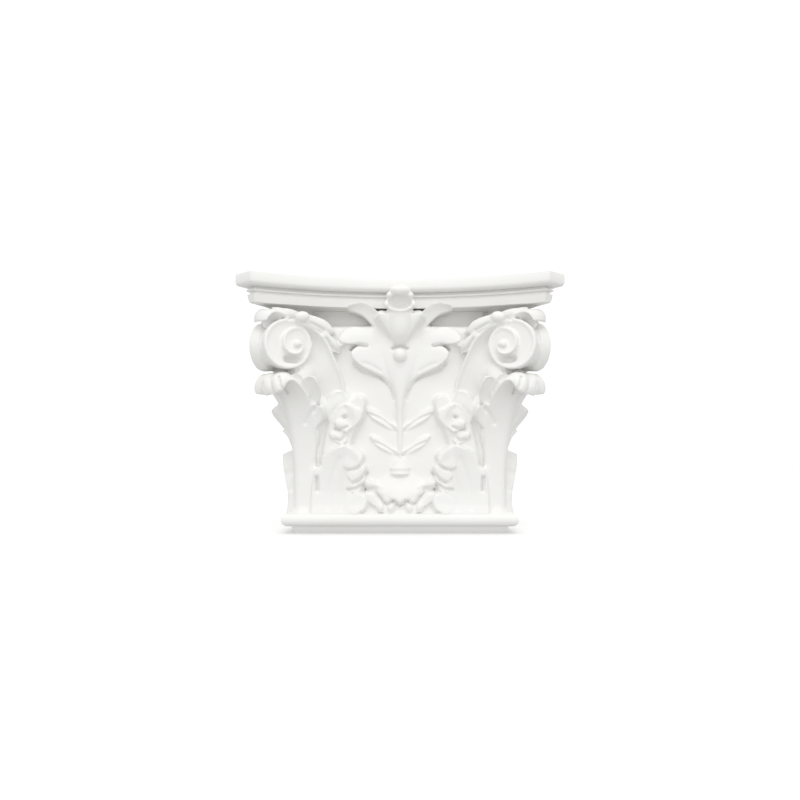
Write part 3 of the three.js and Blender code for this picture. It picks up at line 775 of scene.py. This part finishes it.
# Carving
# Cuts in the right-hand front quarter: lines of (across, up) places, with the width and depth of the tool
CUTS = (
    # The eyelet and the two slots of the upper leaf, and the channel between it and the corner leaf
    (((52.4, 112), (53.4, 111.6)), 1.4, 4.5),
    (((62, 100.4), (56, 100.4), (50.3, 102.6)), 1.2, 3.2),
    (((62, 90.4), (57, 89.6), (54, 92.6)), 1.3, 3.2),
    (((79.7, 67), (75.9, 90), (68.3, 106.3), (60.6, 117.7), (54, 121.6)), 4.0, 3.5),
    # The slots between the lobes of the lower leaf, the slot on its outer edge, and its veins
    (((48, 61), (42, 62.6), (35, 67)), 1.4, 3.4),
    (((44, 48.6), (39, 51), (32, 58)), 1.4, 3.4),
    (((49.7, 42.4), (43, 43), (36, 47.4)), 1.5, 3.4),
    (((80, 54), (79.5, 41.7)), 1.6, 5.0),
    (((68, 24), (66, 48), (58, 72)), 2.5, 0.9),
    (((56, 24), (55, 44), (50, 62)), 2.5, 0.9),
    # The eyelet and the groove on the corner leaf's petals, and the grooves between the fingers of its roll
    (((77.9, 123), (77.2, 123.6)), 1.7, 6.0),
    (((90, 106), (85, 115), (79, 121)), 1.8, 2.0),
    (((112, 148), (109.5, 140), (107, 134.6)), 1.1, 3.5),
    (((121, 148.5), (119.5, 141), (117.5, 134.5)), 1.6, 1.5),
    (((129.5, 146), (128.2, 138)), 1.3, 2.5),
    # The lower edge of the hood with its lobes, the hollow beside it, and the hollow between its drops
    (((0, 27), (3, 28.6), (5.8, 31.4), (7.8, 30.6), (11.5, 28.6), (15.2, 29.8), (18.4, 34), (21.4, 37.2),
      (25, 41.4)), 1.4, 4.5),
    (((25, 42.6), (32, 42.4)), 2.4, 5.0),
    (((-1, 24), (1, 24)), 3.0, 2.5),
    # The veins of the palm's small leaves
    (((33, 119.6), (20.2, 115.3), (9.3, 107.1)), 1.4, 0.8),
    (((29.4, 115.3), (17.1, 109.6), (4.7, 99.6)), 1.6, 2.2),
    (((27.5, 92.4), (17.1, 88.6), (7.8, 82.4)), 1.4, 0.8),
    (((24.8, 88.8), (14, 83.2), (2.5, 75)), 1.6, 2.2),
    # The lower edge and the vein of the palm's lower large leaf, the split above it, and one over the bead
    (((43.6, 163), (38.1, 157.7), (28.9, 154.2), (20.2, 150.8), (12.6, 145.6), (8.2, 138.2),
      (5.9, 130)), 1.5, 3.0),
    (((34.7, 163.5), (27, 160.9), (18.7, 156.1)), 1.6, 0.9),
    (((47, 177.4), (44.5, 179.4), (40, 180.8), (32, 179.8)), 1.3, 5.0),
    (((7, 177.6), (3.5, 179.4), (0, 180)), 1.3, 5.0),
    # The slots of the husks, and the eyelets of the horn's leaf
    (((83, 199), (77, 196.2), (71.5, 193.2)), 1.1, 2.5),
    (((69, 185.5), (64.4, 178.3), (58.5, 173.6)), 1.2, 3.0),
    (((103.3, 202.3), (102, 203)), 1.4, 3.0),
    (((110.3, 203), (109.5, 203.4)), 1.4, 4.0),
)


def fold(points):
    """Places across and up of points, folded on to the right-hand front quarter, and which are on a side."""
    across, out, up = np.abs(points[:, 0]), WALL_Y - points[:, 1], points[:, 2]
    side = across - CORNER_SHIFT > out
    turned = out + CORNER_SHIFT - SIDE_SHIFT * (1 - smoothstep(up, *SIDE_BLEND))
    return np.where(side, turned, across), up, side


def carve(piece):
    """Sinks the cuts into the face of the foliage, the same on the front and the sides."""
    mesh = piece.data
    points = np.empty(len(mesh.vertices) * 3)
    normals = np.empty(len(mesh.vertices) * 3)
    mesh.vertices.foreach_get("co", points)
    mesh.vertices.foreach_get("normal", normals)
    points = points.reshape(-1, 3) / MM
    normals = normals.reshape(-1, 3)
    across, up, side = fold(points)
    facing = np.clip(CUT_FACING * np.where(side, np.abs(normals[:, 0]), -normals[:, 1]), 0, 1)
    sunk = np.zeros(len(points))
    for line, width, depth in CUTS:
        path = spline(line)
        reach = CUT_REACH * width
        near = (
            (across > path[:, 0].min() - reach) & (across < path[:, 0].max() + reach)
            & (up > path[:, 1].min() - reach) & (up < path[:, 1].max() + reach)
        )
        apart = np.hypot(across[near][:, None] - path[:, 0], up[near][:, None] - path[:, 1]).min(axis=1)
        sunk[near] = np.maximum(sunk[near], depth * np.exp(-((apart / width) ** 2)))
    sunk *= facing
    points[:, 0] -= np.where(side, np.sign(points[:, 0]) * sunk, 0)
    points[:, 1] += np.where(side, 0, sunk)
    mesh.vertices.foreach_set("co", (points * MM).ravel())
    mesh.update()


# Blender objects
def mesh_object(name, parts):
    """One object from several shells, in metres."""
    points, faces, start = [], [], 0
    for part_points, part_faces in parts:
        points.append(np.asarray(part_points) * MM)
        for face in np.asarray(part_faces, dtype=object).tolist():
            faces.append(tuple(start + i for i in face))
        start += len(part_points)
    mesh = bpy.data.meshes.new(name)
    mesh.from_pydata(np.concatenate(points).tolist(), [], faces)
    mesh.update()
    return linked(name, mesh)


def linked(name, data):
    """A new object with this data, in the scene."""
    made = bpy.data.objects.new(name, data)
    bpy.context.scene.collection.objects.link(made)
    return made


def applied(piece, kind, **settings):
    """Adds a modifier to a piece and applies it."""
    modifier = piece.modifiers.new(kind.title(), kind)
    for key, value in settings.items():
        setattr(modifier, key, value)
    graph = bpy.context.evaluated_depsgraph_get()
    mesh = bpy.data.meshes.new_from_object(piece.evaluated_get(graph))
    piece.modifiers.clear()
    old = piece.data
    piece.data = mesh
    bpy.data.meshes.remove(old)


def shade(mesh):
    """Smooth shading on the carving, with sharp arrises, and flat shading on the back, top and underside."""
    mesh.shade_smooth()
    mesh.set_sharp_from_angle(angle=CRISP_ANGLE)
    normals = np.empty(len(mesh.polygons) * 3)
    mesh.polygons.foreach_get("normal", normals)
    normals = normals.reshape(-1, 3)
    level = (normals[:, 1] > LEVEL_SHARE) | (np.abs(normals[:, 2]) > LEVEL_SHARE)
    mesh.polygons.foreach_set("use_smooth", ~level)


# Materials
def linear(code):
    """Linear colour from an sRGB hex value."""
    channels = [int(code[i:i + 2], 16) / 255 for i in (0, 2, 4)]
    return [c / 12.92 if c <= 0.04045 else ((c + 0.055) / 1.055) ** 2.4 for c in channels]


def add_node(tree, kind, settings=None, inputs=None):
    """Adds a node with its settings and inputs. A socket given as an input is linked, a value is set."""
    made = tree.nodes.new(kind)
    for key, value in (settings or {}).items():
        setattr(made, key, value)
    for key, value in (inputs or {}).items():
        if isinstance(value, bpy.types.NodeSocket):
            tree.links.new(value, made.inputs[key])
        else:
            made.inputs[key].default_value = value
    return made


def matt_coat(name, tones, roughness, cloud, grain, strength, depth):
    """A matt material that clouds between two tones and has a fine grain. The sizes of the clouds and of the
    grain, and the grain's depth, are in millimetres."""
    material = bpy.data.materials.new(name)
    material.use_nodes = True
    tree = material.node_tree
    tree.nodes.clear()
    space = add_node(tree, "ShaderNodeTexCoord").outputs["Object"]
    clouds = add_node(tree, "ShaderNodeTexNoise", {}, {
        "Vector": space, "Scale": 1 / (cloud * MM), "Detail": 3.0})
    tone = add_node(tree, "ShaderNodeMix", {"data_type": "RGBA"}, {
        "Factor": clouds.outputs["Fac"], "A": (*linear(tones[0]), 1), "B": (*linear(tones[1]), 1)})
    fine = add_node(tree, "ShaderNodeTexNoise", {}, {
        "Vector": space, "Scale": 1 / (grain * MM), "Detail": 2.0})
    bump = add_node(tree, "ShaderNodeBump", {}, {
        "Strength": strength, "Distance": depth * MM, "Height": fine.outputs["Fac"]})
    shader = add_node(tree, "ShaderNodeBsdfPrincipled", {}, {
        "Base Color": tone.outputs["Result"], "Roughness": roughness, "IOR": 1.5,
        "Normal": bump.outputs["Normal"]})
    add_node(tree, "ShaderNodeOutputMaterial", {}, {"Surface": shader.outputs["BSDF"]})
    return material


def primed_foam(paint):
    """Moulded rigid polyurethane foam, sprayed with a matt white primer: an even, chalky white with a soft
    sheen, a faint orange peel, and a slightly warmer tone where the primer lies thin."""
    return matt_coat(
        "Moulded polyurethane foam, matt white primer", (paint.primer_thin, paint.primer), paint.roughness,
        cloud=45, grain=2.2, strength=0.12, depth=0.2,
    )


def background_paper():
    """Matt white background paper: an even white with faint clouds in its tone and a fine felt grain."""
    return matt_coat(
        "Matt white background paper", ("FCFCFC", "FFFFFF"), 0.9,
        cloud=150, grain=1.2, strength=0.1, depth=0.1,
    )


# Stage
def soft_range(tree, value, span, levels):
    """A node that turns a value's run over a span into a soft run between two levels."""
    return add_node(tree, "ShaderNodeMapRange", {"interpolation_type": "SMOOTHSTEP"}, {
        "Value": value, "From Min": span[0], "From Max": span[1], "To Min": levels[0], "To Max": levels[1]})


def product(tree, a, b):
    """A node that multiplies two values."""
    return add_node(tree, "ShaderNodeMath", {"operation": "MULTIPLY"}, {0: a, 1: b})


def paper_floor():
    """The sheet of paper that the capital stands on. It throws no light back on to the capital."""
    corners = [(-FLOOR_HALF, -FLOOR_HALF, 0), (FLOOR_HALF, -FLOOR_HALF, 0),
               (FLOOR_HALF, FLOOR_HALF, 0), (-FLOOR_HALF, FLOOR_HALF, 0)]
    mesh = bpy.data.meshes.new("floor")
    mesh.from_pydata(corners, [], [(0, 1, 2, 3)])
    mesh.materials.append(background_paper())
    floor = linked("floor", mesh)
    floor.visible_diffuse = False
    return floor


def studio_world():
    """White surroundings: dimmer below, a little dimmer overhead, and dimmer at both sides, as dark flags
    would make them. The spans are parts of the way up, or to the side, of a direction that is 1 long."""
    world = bpy.data.worlds.new("Studio")
    world.use_nodes = True
    tree = world.node_tree
    space = add_node(tree, "ShaderNodeTexCoord")
    way = add_node(tree, "ShaderNodeSeparateXYZ", {}, {"Vector": space.outputs["Generated"]})
    rise = soft_range(tree, way.outputs["Z"], (-0.3, 0.0), (GLOW_BELOW, GLOW_ABOVE))
    aside = add_node(tree, "ShaderNodeMath", {"operation": "ABSOLUTE"}, {0: way.outputs["X"]})
    flags = soft_range(tree, aside.outputs["Value"], (0.5, 0.95), (1.0, GLOW_ASIDE))
    ceiling = soft_range(tree, way.outputs["Z"], (0.1, 0.9), (1.0, GLOW_CEILING))
    walls = product(tree, rise.outputs["Result"], flags.outputs["Result"])
    level = product(tree, walls.outputs["Value"], ceiling.outputs["Result"])
    background = tree.nodes["Background"]
    background.inputs["Color"].default_value = (1, 1, 1, 1)
    tree.links.new(level.outputs["Value"], background.inputs["Strength"])
    return world


def softbox():
    """A soft lamp above the front."""
    light = bpy.data.lights.new("softbox", "AREA")
    light.energy = SOFTBOX_POWER
    light.size = SOFTBOX_SIZE
    lamp = linked("softbox", light)
    lamp.location = SOFTBOX_PLACE
    lamp.rotation_euler = (Vector(SOFTBOX_AIM) - lamp.location).to_track_quat("-Z", "Y").to_euler()


def front_camera():
    """The camera, level and square on to the front."""
    camera = bpy.data.cameras.new("camera")
    camera.sensor_width = CAMERA_SENSOR
    camera.lens = CAMERA_LENS
    camera.shift_y = PICTURE_DROP / PICTURE_SIZE
    eye = linked("camera", camera)
    eye.location = (0, (WALL_Y - CAMERA_OUT) * MM, CAMERA_UP * MM)
    eye.rotation_euler = (math.pi / 2, 0, 0)
    return eye


# Add-on
class CapitalPaint(bpy.types.PropertyGroup):
    """The finish of the capital."""

    primer: bpy.props.StringProperty(
        name="Primer", description="sRGB hex colour of the primer", default="F4F4F2")
    primer_thin: bpy.props.StringProperty(
        name="Thin primer", description="sRGB hex colour where the primer lies thin", default="EFEEEB")
    roughness: bpy.props.FloatProperty(
        name="Roughness", description="Roughness of the primer", default=0.55, min=0, max=1,
        subtype="FACTOR")


class CapitalMesh(bpy.types.PropertyGroup):
    """How finely the skin of the capital is made."""

    voxel: bpy.props.FloatProperty(
        name="Skin step", description="Step of the skin that fuses the foliage", default=0.0009,
        unit="LENGTH")
    triangles: bpy.props.IntProperty(
        name="Triangles", description="Triangles kept in the fused foliage", default=170000)
    soften: bpy.props.IntProperty(
        name="Softening", description="Passes that soften the skin", default=4)


class CAPITAL_OT_casting(bpy.types.Operator):
    """Build the capital as one casting."""

    bl_idname = "capital.casting"
    bl_label = "Capital casting"

    def execute(self, context):
        settings = context.scene.capital_mesh
        volute = [scroll(), *volute_stem(), *husks(), *stem_leaves()]
        front = [*upper_leaf(lift=(5, 16)), *lower_leaf(width=46, lift=(5, 14)), *volute]
        side_leaf = lower_leaf(width=34, lift=(5, 26), curl=7, aside=SIDE_SHIFT, drop=7)
        side = [*upper_leaf(lift=(6, 25)), *side_leaf, *volute]
        right = [*front, *map(returned, side), *corner_leaf(), volute_drum(), *horn_leaf()]
        right += [*middle_lobes(), *palm_leaves(), *flower_side()]
        middle = [bell(), *middle_leaf(), *palm_stem(), *flower()]
        casting = mesh_object("capital", [*middle, *right, *map(left, right)])
        applied(casting, "REMESH", mode="VOXEL", voxel_size=settings.voxel)
        applied(casting, "SMOOTH", factor=SOFTEN_FACTOR, iterations=settings.soften)
        carve(casting)
        applied(casting, "SMOOTH", factor=SOFTEN_FACTOR, iterations=1)
        count = sum(len(face.vertices) - 2 for face in casting.data.polygons)
        if count > settings.triangles:
            applied(casting, "DECIMATE", decimate_type="COLLAPSE", ratio=settings.triangles / count)
        for name, operation, part in (
            ("wall", "DIFFERENCE", wall_block()), ("abacus", "UNION", abacus()), ("base", "UNION", base()),
        ):
            tool = mesh_object(name, [part])
            applied(casting, "BOOLEAN", operation=operation, object=tool, solver="MANIFOLD")
            bpy.data.objects.remove(tool)
        if not casting.data.polygons:
            raise RuntimeError("the casting came out empty")
        casting.data.materials.clear()
        casting.data.materials.append(primed_foam(context.scene.capital_paint))
        shade(casting.data)
        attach(casting, "root")
        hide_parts(NODE)
        return {"FINISHED"}


class CAPITAL_OT_stage(bpy.types.Operator):
    """Build the floor, the light and the camera."""

    bl_idname = "capital.stage"
    bl_label = "Stage"

    def execute(self, context):
        scene = context.scene
        paper_floor()
        scene.world = studio_world()
        softbox()
        scene.camera = front_camera()
        scene.view_settings.view_transform = "Standard"
        return {"FINISHED"}


class CAPITAL_PT_panel(bpy.types.Panel):
    """The steps that build the capital."""

    bl_idname = "CAPITAL_PT_panel"
    bl_label = "Capital"
    bl_space_type = "VIEW_3D"
    bl_region_type = "UI"
    bl_category = "Capital"

    def draw(self, context):
        for group in (context.scene.capital_mesh, context.scene.capital_paint):
            for name in group.__annotations__:
                self.layout.prop(group, name)
        self.layout.operator("capital.casting")
        self.layout.operator("capital.stage")


CLASSES = (CapitalPaint, CapitalMesh, CAPITAL_OT_casting, CAPITAL_OT_stage, CAPITAL_PT_panel)


def register():
    """Registers the classes and the settings of the scene."""
    for each in CLASSES:
        bpy.utils.register_class(each)
    bpy.types.Scene.capital_paint = bpy.props.PointerProperty(type=CapitalPaint)
    bpy.types.Scene.capital_mesh = bpy.props.PointerProperty(type=CapitalMesh)


def unregister():
    """Takes the settings and the classes away again."""
    del bpy.types.Scene.capital_mesh
    del bpy.types.Scene.capital_paint
    for each in reversed(CLASSES):
        bpy.utils.unregister_class(each)


def main():
    """Builds the capital and the stage."""
    register()
    bpy.ops.capital.casting()
    bpy.ops.capital.stage()


if __name__ == "__main__":
    main()
